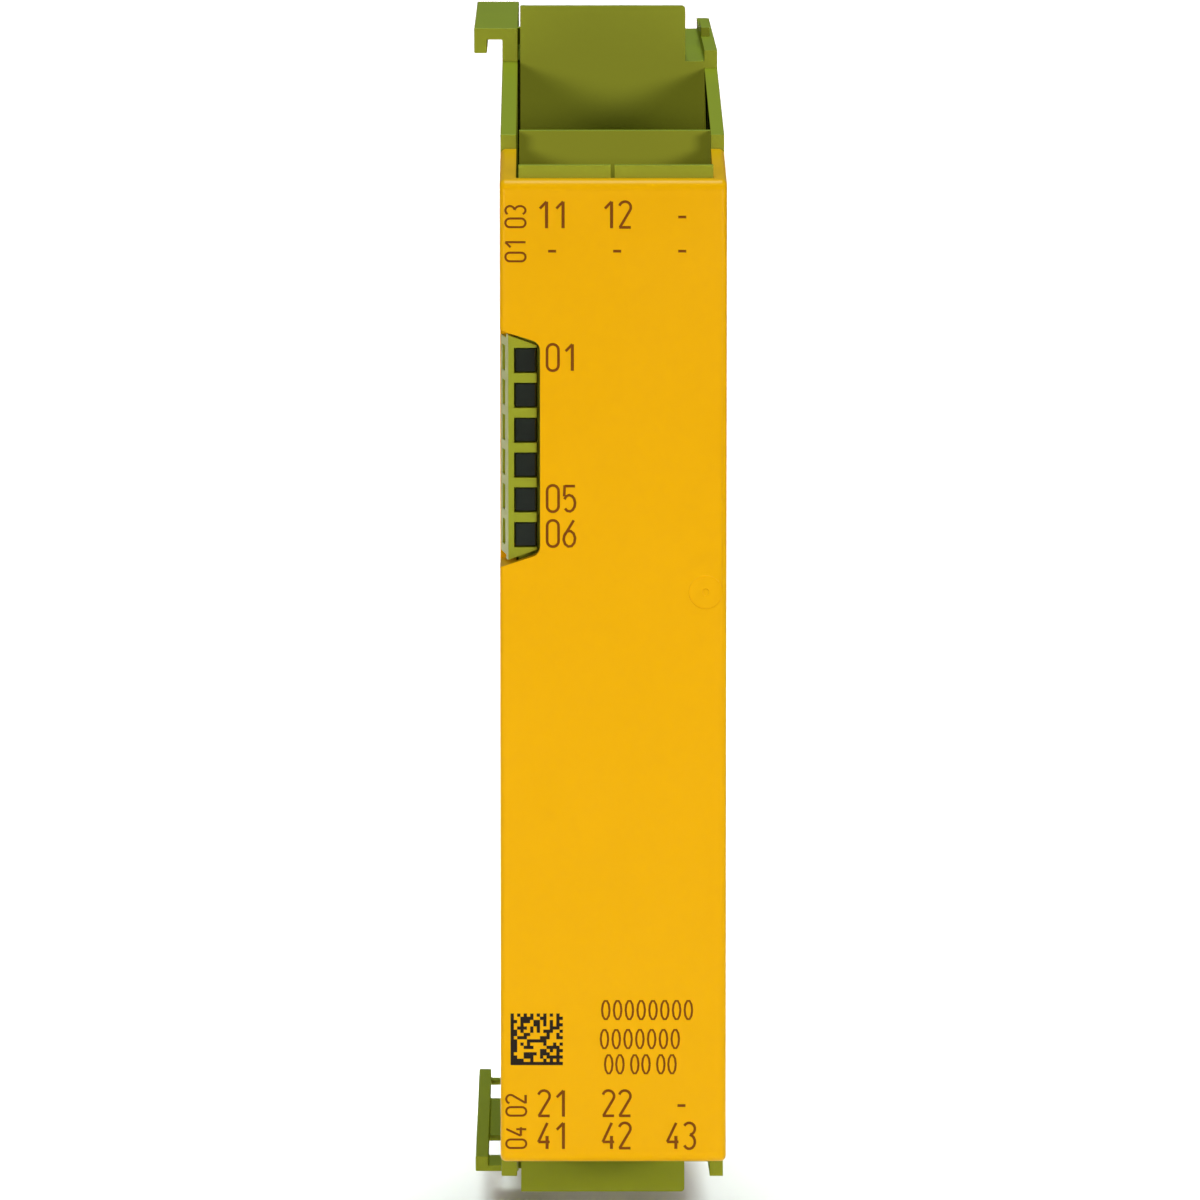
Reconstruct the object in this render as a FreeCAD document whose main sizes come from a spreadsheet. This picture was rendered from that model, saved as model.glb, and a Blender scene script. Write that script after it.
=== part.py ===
import FreeCAD, Part
import os
from types import SimpleNamespace

import Sketcher

# Output relay module for a safety relay system, 17.5 mm wide, for a 35 mm mounting rail.
#
# +X is the viewer's right, +Y runs from the front to the rail, +Z is up. The origin is the
# centre of the seat that lies on the rail's front. Inside each piece, depth is counted from
# the front face and height from the middle of that face, and "rise" is the height above the
# face's upper edge, or below its lower edge, of the same point.

doc = FreeCAD.newDocument("safety_relay")
sheet = doc.addObject("Spreadsheet::Sheet", "Sizes")


class Length:
    """A length in millimetres, with the expression that keeps it tied to the sheet."""

    def __init__(self, value, text):
        self.value = value
        self.text = text

    def __add__(self, other):
        other = as_length(other)
        return Length(self.value + other.value, f"({self.text} + {other.text})")

    def __sub__(self, other):
        other = as_length(other)
        return Length(self.value - other.value, f"({self.text} - {other.text})")

    def __mul__(self, factor):
        return Length(self.value * factor, f"({self.text} * {factor})")

    def __truediv__(self, divisor):
        return Length(self.value / divisor, f"({self.text} / {divisor})")

    def __neg__(self):
        return self * -1


def as_length(number):
    """A Length as it is, or a plain number made into one."""
    if isinstance(number, Length):
        return number
    return Length(float(number), str(float(number)))


SIZES = {
    # Whole module
    "module_width": 17.5,
    "module_depth": 120.0,
    "face_height": 76.3,
    "rear_depth": 6.5,
    # Side walls, seen from the side
    "tub_wall": 1.05,
    "cover_wall": 1.25,
    "cover_seam": 0.2,
    "locating_play": 0.1,
    "locating_wall": 0.9,
    "locating_reach": 0.35,
    "skirt_depth": 14.0,
    "skirt_rise": 1.5,
    "skirt_seam": 0.1,
    "shoulder_rise": 2.6,
    "heel_rise": 3.5,
    "slope_rise": 6.2,
    "right_slope_rise": 5.65,
    "wall_rise": 7.1,
    "rear_rise": 4.5,
    "rear_chamfer": 1.0,
    "tab_inset": 19.0,
    "tab_length": 10.8,
    "tab_height": 0.75,
    "tab_width": 0.7,
    # Tub between the side walls
    "shell_wall": 1.1,
    "rim_wall": 1.0,
    "rim_rise": 1.12,
    "lower_rim_drop": 0.1,
    "rim_slot": 0.28,
    "rim_slot_place": -0.25,
    "front_floor_drop": 10.5,
    "divider_depth": 16.5,
    "divider_wall": 1.1,
    "divider_rise": 2.75,
    "rear_floor_drop": 6.0,
    "plate_depth": 49.0,
    "plate_wall": 1.2,
    "plate_rise": 10.7,
    "plate_round": 0.3,
    "body_rise": 7.4,
    "vent_inset": 8.0,
    "vent_pitch": 4.2,
    "vent_width": 1.8,
    "vent_length": 9.0,
    # Hook rail on the left and channel on the right, which join neighbouring modules
    "hook_end": 95.0,
    "hook_inset": 7.0,
    "hook_rise": 8.9,
    "hook_arm": 0.95,
    "hook_reach": 2.3,
    "hook_lip": 1.05,
    "hook_drop": 2.05,
    "foot_rise": 9.0,
    "foot_floor": 0.5,
    "foot_lip_height": 1.25,
    "foot_window": 10.0,
    "foot_window_inset": 5.3,
    "foot_window_bar": 1.2,
    "channel_width": 1.55,
    "channel_rise": 6.2,
    # Front cap
    "cap_wall": 1.3,
    "cap_edge_round": 0.95,
    "cap_side_round": 0.45,
    "gate_radius": 1.3,
    "gate_sink": 0.06,
    "gate_nub": 0.25,
    "gate_inset": 1.63,
    "gate_drop": 31.8,
    # Status window at the cap's left edge
    "light_count": 6,
    "light_first_drop": 13.93,
    "light_pitch": 2.7,
    "light_height": 1.95,
    "light_width": 1.75,
    "light_inset": 1.1,
    "frame_inset": 0.08,
    "frame_slope": 0.57,
    "frame_sink": 0.95,
    "frame_wall": 0.9,
    "frame_depth": 4.6,
    "side_window_sink": 2.05,
    "window_margin": 0.45,
    "window_clear": 0.25,
    "window_slant": 1.0,
    "window_round": 0.8,
    "groove_web": 0.35,
    "lens_sink": 0.35,
    "lens_play": 0.05,
    "led_size": 1.2,
    # Rail seat, claw and latch
    "rail_height": 35.0,
    "seat_height": 30.4,
    "seat_raise": 0.3,
    "rail_slot": 1.35,
    "rail_gap": 0.2,
    "notch_gap": 0.9,
    "claw_reach": 2.1,
    "claw_wall": 2.4,
    "claw_lead": 1.2,
    "claw_root": 5.0,
    "latch_width": 8.0,
    "latch_wall": 4.0,
    "latch_play": 0.2,
    "latch_reach": 1.9,
    "latch_length": 35.4,
    "latch_eye_width": 5.2,
    "latch_eye_height": 2.4,
    "latch_eye_wall": 1.6,
    "latch_window_top": 8.4,
    "latch_window_width": 4.6,
    "post_width": 3.8,
    "post_height": 2.0,
    "spring_length": 11.9,
    "spring_radius": 1.5,
    "spring_wire": 0.25,
    "spring_turns": 6,
    # Plug sockets
    "socket_pitch": 5.0,
    "socket_play": 0.1,
    "header_depth": 12.0,
    "header_base": 2.0,
    "header_rib": 1.0,
    "header_rib_height": 4.0,
    "boss_depth": 4.0,
    "boss_width": 12.2,
    "pin_size": 0.8,
    "pin_height": 4.5,
    "pin_play": 0.05,
    "pin_tail_first": 2.2,
    "pin_tail_pitch": 2.0,
    # Boards
    "board_wall": 1.6,
    "board_gap": 0.4,
    "board_play": 0.35,
    "board_front": 6.3,
    "board_pad": 3.0,
    "link_board_wall": 1.2,
    "link_board_height": 15.0,
    "link_board_margin": 1.0,
    "link_height": 12.0,
    "link_width": 5.4,
    "link_spacing": 7.0,
    "link_sink": 0.4,
    "link_wall": 0.7,
    "link_socket_depth": 3.6,
    "link_pin": 0.5,
    "link_pin_pitch": 2.0,
    # Relays and the larger parts on the main board
    "relay_length": 40.0,
    "relay_width": 16.0,
    "relay_height": 11.5,
    "relay_place": 55.0,
    "relay_offset": 12.0,
    "relay_round": 0.6,
    "relay_base": 2.0,
    "relay_step": 0.3,
    "chip_size": 7.0,
    "chip_height": 1.2,
    "chip_place": 24.0,
    "chip_offset": 13.0,
    "chip_mark": 0.5,
    "chip_mark_depth": 0.12,
    "coupler_length": 6.4,
    "coupler_width": 4.6,
    "coupler_height": 3.4,
    "coupler_place": 38.0,
    "coupler_pitch": 7.0,
    "capacitor_radius": 4.0,
    "capacitor_length": 11.5,
    "capacitor_place": 60.0,
    "capacitor_offset": 28.5,
    "inductor_size": 10.0,
    "inductor_height": 8.0,
    "inductor_gap": 2.0,
    "inductor_core": 3.2,
    "suppressor_radius": 3.6,
    "suppressor_pitch": 9.36,
    "suppressor_wall": 3.2,
    "suppressor_place": 78.0,
    "fuse_length": 6.2,
    "fuse_width": 2.6,
    "fuse_gap": 8.0,
}

for row, (name, value) in enumerate(SIZES.items(), start=1):
    sheet.set(f"A{row}", name)
    sheet.set(f"B{row}", str(value))
    sheet.setAlias(f"B{row}", name)
doc.recompute()

s = SimpleNamespace(**{name: Length(value, f"Sizes.{name}") for name, value in SIZES.items()})


# Places that several pieces share

half_width = s.module_width / 2
half_face = s.face_height / 2
seat = s.module_depth - s.rear_depth
tub_left = s.cover_wall + s.cover_seam - half_width
tub_right = half_width - s.tub_wall
tub_middle = (tub_left + tub_right) / 2
board_left = s.cover_wall + s.board_gap - half_width
board_face = board_left + s.board_wall
wall_front = s.skirt_depth + s.skirt_seam
front_room = s.cap_wall + s.rim_wall
rear_room = s.divider_depth + s.divider_wall
claw_front = seat + s.rail_slot
latch_middle = claw_front + s.latch_wall / 2
latch_top = s.latch_reach - s.rail_height / 2
post_top = latch_top - s.latch_window_top - s.spring_length
ledge = -(s.rail_height / 2 + s.notch_gap)
vent_first = s.plate_depth + s.vent_inset
link_board_front = seat - s.seat_raise - s.shell_wall - s.link_board_margin - s.link_board_wall


def top(rise):
    """Height of a point that lies this far above the face's upper edge."""
    return half_face + rise


def bottom(rise):
    """Height of a point that lies this far below the face's lower edge."""
    return -(half_face + rise)


# Building blocks

parts = []
ACROSS = "YZ_Plane"
ALONG = "XZ_Plane"
LEVEL = "XY_Plane"


def new_body(node):
    """An empty body whose own origin is the middle of the front face."""
    body = doc.addObject("PartDesign::Body", node)
    body.Label = node
    body.setExpression("Placement.Base.y", (-seat).text)
    parts.append(body)
    return body


def new_sketch(body, plane, name, offset):
    """A sketch on one of the body's own planes, moved along that plane's normal."""
    sketch = body.newObject("Sketcher::SketchObject", f"{body.Name}_{name}_outline")
    origin_plane = [item for item in body.Origin.OriginFeatures if item.Role == plane][0]
    sketch.AttachmentSupport = [(origin_plane, "")]
    sketch.MapMode = "FlatFace"
    sketch.setExpression("AttachmentOffset.Base.z", offset.text)
    return sketch


def hold(sketch, kind, length, *places):
    """A driving constraint whose size is tied to the sheet."""
    number = sketch.addConstraint(Sketcher.Constraint(kind, *places, length.value))
    sketch.setExpression(f"Constraints[{number}]", length.text)


def draw_corners(sketch, corners):
    """A closed outline of straight edges, each corner held from the sketch's origin."""
    corners = [(as_length(a), as_length(b)) for a, b in corners]
    points = [FreeCAD.Vector(a.value, b.value, 0) for a, b in corners]
    first = sketch.GeometryCount
    for index, point in enumerate(points):
        following = points[(index + 1) % len(points)]
        sketch.addGeometry(Part.LineSegment(point, following), False)
    for index in range(len(points)):
        following = first + (index + 1) % len(points)
        sketch.addConstraint(Sketcher.Constraint("Coincident", first + index, 2, following, 1))
    for index, (a, b) in enumerate(corners):
        hold(sketch, "DistanceX", a, -1, 1, first + index, 1)
        hold(sketch, "DistanceY", b, -1, 1, first + index, 1)


def draw_circle(sketch, centre, radius):
    """A full circle, held by its centre and radius."""
    a, b = (as_length(item) for item in centre)
    circle = Part.Circle(FreeCAD.Vector(a.value, b.value, 0), FreeCAD.Vector(0, 0, 1), radius.value)
    number = sketch.addGeometry(circle, False)
    hold(sketch, "Radius", radius, number)
    hold(sketch, "DistanceX", a, -1, 1, number, 3)
    hold(sketch, "DistanceY", b, -1, 1, number, 3)


def draw(sketch, outlines):
    """Every outline of a sketch: a list of corners, or a circle as (centre, radius)."""
    for outline in outlines:
        if isinstance(outline, tuple):
            draw_circle(sketch, *outline)
        else:
            draw_corners(sketch, outline)


def volume(body):
    """Volume of the body so far, in cubic millimetres."""
    return 0.0 if body.Shape.isNull() else body.Shape.Volume


def add(body, plane, name, outlines, low, high):
    """Material between two stations along the plane's axis."""
    low = as_length(low)
    high = as_length(high)
    before = volume(body)
    sketch = new_sketch(body, plane, name, -high if plane == ALONG else low)
    draw(sketch, outlines)
    pad = body.newObject("PartDesign::Pad", f"{body.Name}_{name}")
    pad.Profile = sketch
    pad.setExpression("Length", (high - low).text)
    doc.recompute()
    if not volume(body) > before:
        raise RuntimeError(f"{pad.Name} adds nothing")


def cut(body, plane, name, outlines, low, high):
    """Material taken away between two stations along the plane's axis."""
    low = as_length(low)
    high = as_length(high)
    before = volume(body)
    sketch = new_sketch(body, plane, name, -low if plane == ALONG else high)
    draw(sketch, outlines)
    pocket = body.newObject("PartDesign::Pocket", f"{body.Name}_{name}")
    pocket.Profile = sketch
    pocket.setExpression("Length", (high - low).text)
    doc.recompute()
    if not volume(body) < before:
        raise RuntimeError(f"{pocket.Name} takes nothing away")


def round_edges(body, name, radius, chosen):
    """A fillet on the edges of the body's last feature that a test picks out."""
    base = body.Tip
    names = [f"Edge{i}" for i, edge in enumerate(base.Shape.Edges, start=1) if chosen(edge)]
    if not names:
        raise RuntimeError(f"{body.Name}_{name} finds no edge")
    fillet = body.newObject("PartDesign::Fillet", f"{body.Name}_{name}")
    fillet.Base = (base, names)
    fillet.setExpression("Radius", radius.text)
    doc.recompute()
    if "Invalid" in fillet.State or fillet.Shape.isNull():
        raise RuntimeError(f"{fillet.Name} fails")


def box(a_low, a_high, b_low, b_high):
    """Corners of a rectangle."""
    return [(a_low, b_low), (a_high, b_low), (a_high, b_high), (a_low, b_high)]


def box_at(a, b, a_size, b_size):
    """Corners of a rectangle about its middle."""
    a = as_length(a)
    b = as_length(b)
    return box(a - a_size / 2, a + a_size / 2, b - b_size / 2, b + b_size / 2)


def runs_along(edge, axis):
    """Whether a straight edge runs along one axis."""
    if not isinstance(edge.Curve, Part.Line):
        return False
    direction = edge.Curve.Direction
    return abs(abs(getattr(direction, axis)) - 1) < 1e-6


def lies_at(edge, axis, place):
    """Whether an edge's middle lies at this place along one axis of its body."""
    box_of_edge = edge.BoundBox
    middle = (getattr(box_of_edge, axis + "Min") + getattr(box_of_edge, axis + "Max")) / 2
    return abs(middle - as_length(place).value) < 1e-4


# Side outlines

def wall_outline(slope_rise, upper_rise, upper_end, lower_rise):
    """Outline of a side wall: its rise where the slopes end, and its rails above and below."""
    rear = s.module_depth
    notch = s.rail_height / 2 + s.notch_gap
    upper = [
        (wall_front, top(s.shoulder_rise)),
        (s.plate_depth, top(slope_rise)),
        (s.plate_depth, top(upper_rise)),
        (upper_end, top(upper_rise)),
        (upper_end, top(s.rear_rise)),
        (rear - s.rear_chamfer, top(s.rear_rise)),
        (rear, top(s.rear_rise - s.rear_chamfer)),
        (rear, notch),
        (seat - s.seat_raise, notch),
    ]
    lower = [
        (seat - s.seat_raise, -notch),
        (rear, -notch),
        (rear, bottom(s.rear_rise - s.rear_chamfer)),
        (rear - s.rear_chamfer, bottom(s.rear_rise)),
        (s.hook_end, bottom(s.rear_rise)),
        (s.hook_end, bottom(lower_rise)),
        (s.plate_depth, bottom(lower_rise)),
        (s.plate_depth, bottom(slope_rise)),
        (wall_front, bottom(s.heel_rise)),
    ]
    return upper + lower


def shell_half(height, rim_rise):
    """Outer outline of the tub's perimeter above or below, from the front to the rear."""
    return [
        (s.cap_wall, height(rim_rise)),
        (front_room, height(rim_rise)),
        (front_room, height(-s.front_floor_drop)),
        (s.divider_depth, height(-s.front_floor_drop)),
        (s.divider_depth, height(s.divider_rise)),
        (rear_room, height(s.divider_rise)),
        (rear_room, height(-s.rear_floor_drop)),
        (s.plate_depth, height(-s.rear_floor_drop)),
        (s.plate_depth, height(s.plate_rise)),
        (s.plate_depth + s.plate_wall, height(s.plate_rise)),
        (s.plate_depth + s.plate_wall, height(s.body_rise)),
        (s.hook_end, height(s.body_rise)),
        (s.hook_end, height(s.rear_rise)),
        (s.module_depth - s.rear_chamfer, height(s.rear_rise)),
        (s.module_depth, height(s.rear_rise - s.rear_chamfer)),
    ]


def room_half(height, front, upper_rise, margin):
    """Inner outline of the tub's perimeter above or below, moved inwards by a margin."""
    wall = s.shell_wall + margin
    divider_rear = rear_room + margin
    plate_rear = s.plate_depth + s.plate_wall + margin
    return [
        (front, height(-s.front_floor_drop - wall)),
        (divider_rear, height(-s.front_floor_drop - wall)),
        (divider_rear, height(-s.rear_floor_drop - wall)),
        (plate_rear, height(-s.rear_floor_drop - wall)),
        (plate_rear, height(upper_rise - wall)),
        (s.hook_end - wall, height(upper_rise - wall)),
        (s.hook_end - wall, height(s.rear_rise - wall)),
    ]


def room_outline(front, upper_rise, margin):
    """The tub's inner room, which reaches to the rear wall above the claw."""
    wall = s.shell_wall + margin
    seat_inside = seat - s.seat_raise - wall
    rear_inside = s.module_depth - wall
    above_claw = s.rail_height / 2 + s.claw_root + wall
    rear = [
        (rear_inside, top(s.rear_rise - wall)),
        (rear_inside, above_claw),
        (seat_inside, above_claw),
        (seat_inside, bottom(s.rear_rise - wall)),
    ]
    upper = room_half(top, front, upper_rise, margin)
    lower = room_half(bottom, front, upper_rise, margin)
    return upper + rear + lower[::-1]


# Sockets, one row for each: side of the face, room's front, room's rear, floor's drop

SOCKETS = [
    (top, front_room, s.divider_depth, s.front_floor_drop),
    (top, rear_room, s.plate_depth, s.rear_floor_drop),
    (bottom, front_room, s.divider_depth, s.front_floor_drop),
    (bottom, rear_room, s.plate_depth, s.rear_floor_drop),
]


def light_heights():
    """Middle of each status light, from the top down."""
    return [half_face - s.light_first_drop - s.light_pitch * i for i in range(int(s.light_count.value))]


lights = light_heights()
frame_left = s.frame_inset - half_width
light_left = s.light_inset - half_width
light_right = light_left + s.light_width
frame_rear = s.frame_sink + s.frame_depth
opening_right = light_right + s.window_clear
opening_top = lights[0] + s.light_height / 2 + s.window_margin
opening_bottom = lights[-1] - s.light_height / 2 - s.window_margin


def slanted_outline(left, right, inward):
    """Outline of the status window, wider at the module's side, moved inwards above and below."""
    return [
        (left, opening_top + s.window_slant - inward),
        (right, opening_top - inward),
        (right, opening_bottom + inward),
        (left, opening_bottom - s.window_slant + inward),
    ]


# Main housing: right side wall, perimeter with the four plug sockets, rear with the claw

housing = new_body("main_housing")
claw = [
    (s.module_depth, s.rail_height / 2 + s.claw_root),
    (claw_front + s.claw_wall, s.rail_height / 2 + s.claw_root / 2),
    (claw_front + s.claw_wall, s.rail_height / 2 - s.claw_reach + s.claw_lead),
    (claw_front + s.claw_wall - s.claw_lead, s.rail_height / 2 - s.claw_reach),
    (claw_front, s.rail_height / 2 - s.claw_reach),
    (claw_front, s.rail_height / 2 + s.rail_gap),
    (seat - s.seat_raise, s.rail_height / 2 + s.rail_gap),
    (seat - s.seat_raise, s.seat_height / 2),
    (seat, s.seat_height / 2),
    (seat, -s.seat_height / 2),
    (seat - s.seat_raise, -s.seat_height / 2),
    (seat - s.seat_raise, ledge),
    (s.module_depth, ledge),
]
shell = shell_half(top, s.rim_rise) + claw + shell_half(bottom, -s.lower_rim_drop)[::-1]
add(housing, ACROSS, "shell", [shell], tub_left, tub_right)

channel_left = tub_right - s.channel_width
step_right = channel_left - s.shell_wall
room = room_outline(front_room, s.body_rise, 0)
cut(housing, ACROSS, "room", [room], tub_left, step_right)
room_by_channel = room_outline(front_room, s.channel_rise, 0)
cut(housing, ACROSS, "room_by_channel", [room_by_channel], step_right, tub_right)

side_wall = wall_outline(s.right_slope_rise, s.wall_rise, s.hook_end, s.wall_rise)
add(housing, ACROSS, "side_wall", [side_wall], tub_right, half_width)
inset = box(s.cap_wall, wall_front + s.shell_wall, bottom(-s.front_floor_drop), top(-s.front_floor_drop))
add(housing, ACROSS, "inset_wall", [inset], tub_right - s.tub_wall, tub_right)

for height, label in ((top, "upper"), (bottom, "lower")):
    slot = box(s.plate_depth, s.hook_end, height(s.channel_rise), height(s.plate_rise))
    cut(housing, ACROSS, f"{label}_channel", [slot], channel_left, tub_right)
    tab_front = s.plate_depth + s.tab_inset
    tab = box(tab_front, tab_front + s.tab_length, height(s.wall_rise), height(s.wall_rise + s.tab_height))
    add(housing, ACROSS, f"{label}_tab", [tab], tub_right, tub_right + s.tab_width)
    middle = tub_middle + s.rim_slot_place
    gap = box(middle - s.rim_slot / 2, middle + s.rim_slot / 2, height(-s.front_floor_drop), height(s.rim_rise))
    cut(housing, ALONG, f"{label}_rim_slot", [gap], s.cap_wall, front_room)

VENTS = 8
vents = [
    box_at((tub_left + step_right) / 2, vent_first + s.vent_pitch * i, s.vent_length, s.vent_width)
    for i in range(VENTS)
]
cut(housing, LEVEL, "upper_vents", vents, top(s.body_rise - s.shell_wall), top(s.body_rise))
cut(housing, LEVEL, "lower_vents", vents, bottom(s.body_rise), bottom(s.body_rise - s.shell_wall))

for number, (height, room_front, room_rear, drop) in enumerate(SOCKETS, start=1):
    middle = (room_front + room_rear) / 2
    hole = box_at(tub_middle, middle, s.boss_width + s.socket_play * 2, s.boss_depth + s.socket_play * 2)
    floor = height(-drop)
    under = height(-drop - s.shell_wall)
    low, high = (under, floor) if height is top else (floor, under)
    cut(housing, LEVEL, f"floor_hole_{number}", [hole], low, high)

frame_block = slanted_outline(frame_left, light_right, s.window_clear)
add(housing, ALONG, "light_frame", [frame_block], s.frame_sink, front_room)
side_top = opening_top + s.window_slant / 2 - s.window_clear
side_bottom = opening_bottom - s.window_slant / 2 + s.window_clear
frame_side = box(frame_left, light_left, side_bottom, side_top)
add(housing, ALONG, "light_frame_side", [frame_side], s.frame_sink, frame_rear)
side_slope = [
    (frame_left, s.frame_sink),
    (frame_left + s.frame_slope, s.frame_sink),
    (frame_left, frame_rear),
]
frame_low = opening_bottom - s.window_slant
frame_high = opening_top + s.window_slant
cut(housing, LEVEL, "light_frame_slope", [side_slope], frame_low, frame_high)
groove = slanted_outline(-half_width, opening_right, 0)
cut(housing, ALONG, "light_groove", [groove, frame_block], s.cap_wall, front_room - s.groove_web)
windows = [box(light_left, light_right, z - s.light_height / 2, z + s.light_height / 2) for z in lights]
cut(housing, ALONG, "light_windows", windows, s.frame_sink, front_room)
side_front = s.frame_sink + s.side_window_sink
side_rear = frame_rear - s.frame_wall
side_windows = [box(side_front, side_rear, z - s.light_height / 2, z + s.light_height / 2) for z in lights]
cut(housing, ACROSS, "light_side_windows", side_windows, frame_left, light_left)

round_edges(housing, "plate_round", s.plate_round,
            lambda edge: runs_along(edge, "y") and lies_at(edge, "X", channel_left)
            and abs(edge.BoundBox.ZMax) > top(s.plate_rise).value - 0.01)

tunnel = box_at(0, latch_middle, s.latch_width + s.latch_play * 2, s.latch_wall + s.latch_play * 2)
cut(housing, LEVEL, "latch_tunnel", [tunnel], bottom(s.rear_rise), ledge)
post = box(-s.post_width / 2, s.post_width / 2, post_top - s.post_height, post_top)
post_reach = s.latch_wall / 2 + s.latch_play
add(housing, ALONG, "spring_post", [post], latch_middle - post_reach, latch_middle + post_reach)

link_middle = (top(s.rear_rise - s.shell_wall) + s.rail_height / 2 + s.claw_root + s.shell_wall) / 2
link_hole = [
    box_at(tub_middle + s.link_spacing * side / 2, link_middle, s.link_width + s.socket_play * 2,
           s.link_height + s.socket_play * 2)
    for side in (-1, 1)
]
cut(housing, ALONG, "link_holes", link_hole, s.module_depth - s.shell_wall, s.module_depth)


# Side cover: left side wall with the hook rails, the clips and the pads that hold the board

cover = new_body("side_cover")
cover_inside = s.cover_wall - half_width
upper_hook_end = s.hook_end - s.hook_inset
cover_outline = wall_outline(s.slope_rise, s.hook_rise, upper_hook_end, s.foot_rise)
add(cover, ACROSS, "wall", [cover_outline], -half_width, cover_inside)

lip_outside = -half_width - s.hook_reach
lip_inside = lip_outside + s.hook_lip
hook = [
    (lip_outside, top(s.hook_rise)),
    (cover_inside, top(s.hook_rise)),
    (cover_inside, top(s.hook_rise - s.hook_arm)),
    (lip_inside, top(s.hook_rise - s.hook_arm)),
    (lip_inside, top(s.hook_rise - s.hook_drop)),
    (lip_outside, top(s.hook_rise - s.hook_drop)),
]
add(cover, ALONG, "upper_hook", [hook], s.plate_depth, upper_hook_end)
foot = [
    (lip_outside, bottom(s.foot_rise)),
    (cover_inside, bottom(s.foot_rise)),
    (cover_inside, bottom(s.foot_rise - s.foot_floor)),
    (lip_inside, bottom(s.foot_rise - s.foot_floor)),
    (lip_inside, bottom(s.foot_rise - s.foot_lip_height)),
    (lip_outside, bottom(s.foot_rise - s.foot_lip_height)),
]
add(cover, ALONG, "lower_hook", [foot], s.plate_depth, s.hook_end)
foot_window_front = s.plate_depth + s.foot_window_inset
foot_window_rear = s.hook_end - s.foot_window_bar
foot_windows = [
    box(lip_inside, -half_width, foot_window_front, foot_window_front + s.foot_window),
    box(lip_inside, -half_width, foot_window_rear - s.foot_window, foot_window_rear),
]
cut(cover, LEVEL, "lower_hook_windows", foot_windows, bottom(s.foot_rise), bottom(s.foot_rise - s.foot_floor))

locating_front = wall_front + s.locating_wall
locating_far = s.locating_play + s.locating_wall
locating_rim = [
    room_outline(wall_front, s.body_rise, s.locating_play),
    room_outline(locating_front, s.body_rise, locating_far),
]
locating_end = cover_inside + s.locating_reach
add(cover, ACROSS, "locating_rim", locating_rim, cover_inside, locating_end)
plate_back = s.plate_depth + s.plate_wall
plate_ribs = [
    box(plate_back + s.locating_play, plate_back + locating_far, height(s.body_rise + s.locating_play), height(rise))
    for height, rise in ((top, s.hook_rise), (bottom, s.foot_rise))
]
add(cover, ACROSS, "plate_ribs", plate_ribs, cover_inside, locating_end)

clip_reach = s.board_gap + s.board_wall + s.shell_wall
for height, label in ((top, "upper"), (bottom, "lower")):
    outside = height(s.body_rise - s.shell_wall - s.socket_play)
    inside = height(s.body_rise - s.shell_wall * 2 - s.socket_play)
    clips = [
        box(start, start + s.board_pad * 2, inside, outside)
        for start in (vent_first, s.relay_place + s.relay_length - s.board_pad * 4)
    ]
    add(cover, ACROSS, f"{label}_clips", clips, cover_inside, cover_inside + clip_reach)


# Main board, whose edge steps follow the floors of the sockets

board = new_body("main_board")
board_rear = link_board_front - s.skirt_seam


def board_half(height):
    """The board's edge above or below, from the front to the rear."""
    front_edge = height(-s.front_floor_drop - s.shell_wall - s.board_play)
    middle_edge = height(-s.rear_floor_drop - s.shell_wall - s.board_play)
    rear_edge = height(s.rear_rise - s.shell_wall - s.board_play)
    return [
        (s.board_front, front_edge),
        (rear_room + s.board_play, front_edge),
        (rear_room + s.board_play, middle_edge),
        (s.plate_depth + s.plate_wall + s.board_play, middle_edge),
        (s.plate_depth + s.plate_wall + s.board_play, rear_edge),
        (board_rear, rear_edge),
    ]


add(board, ACROSS, "plate", [board_half(top) + board_half(bottom)[::-1]], board_left, board_face)

board_pads = [
    box_at(place, offset, s.board_pad, s.board_pad)
    for place in (wall_front + s.board_pad, s.relay_place, board_rear - s.board_pad * 2)
    for offset in (s.relay_offset, -s.relay_offset)
]
add(cover, ACROSS, "board_pads", board_pads, cover_inside, board_left)


# Front cap: a rounded block hollowed from behind, so that its face keeps two side skirts

cap = new_body("front_cap")
cap_side = [
    (0, top(0)),
    (s.skirt_depth, top(s.skirt_rise)),
    (s.skirt_depth, bottom(s.skirt_rise)),
    (0, bottom(0)),
]
add(cap, ACROSS, "block", [cap_side], -half_width, half_width)
round_edges(cap, "edge_round", s.cap_edge_round,
            lambda edge: runs_along(edge, "x") and lies_at(edge, "Y", 0))
round_edges(cap, "side_round", s.cap_side_round,
            lambda edge: runs_along(edge, "z") and lies_at(edge, "Y", 0))
cap_room = box(cover_inside, tub_right, bottom(s.skirt_rise), top(s.skirt_rise))
cut(cap, ALONG, "room", [cap_room], s.cap_wall, s.skirt_depth)

opening = slanted_outline(-half_width, opening_right, 0)
cut(cap, ALONG, "light_opening", [opening], 0, frame_rear + s.frame_wall)
round_edges(cap, "opening_round", s.window_round,
            lambda edge: runs_along(edge, "y") and lies_at(edge, "X", opening_right))

gate = (half_width - s.gate_inset, half_face - s.gate_drop)
cut(cap, ALONG, "gate_mark", [(gate, s.gate_radius), (gate, s.gate_nub)], 0, s.gate_sink)


# Status lights: one smoked moulding with six faces, and six diodes on the board

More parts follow.
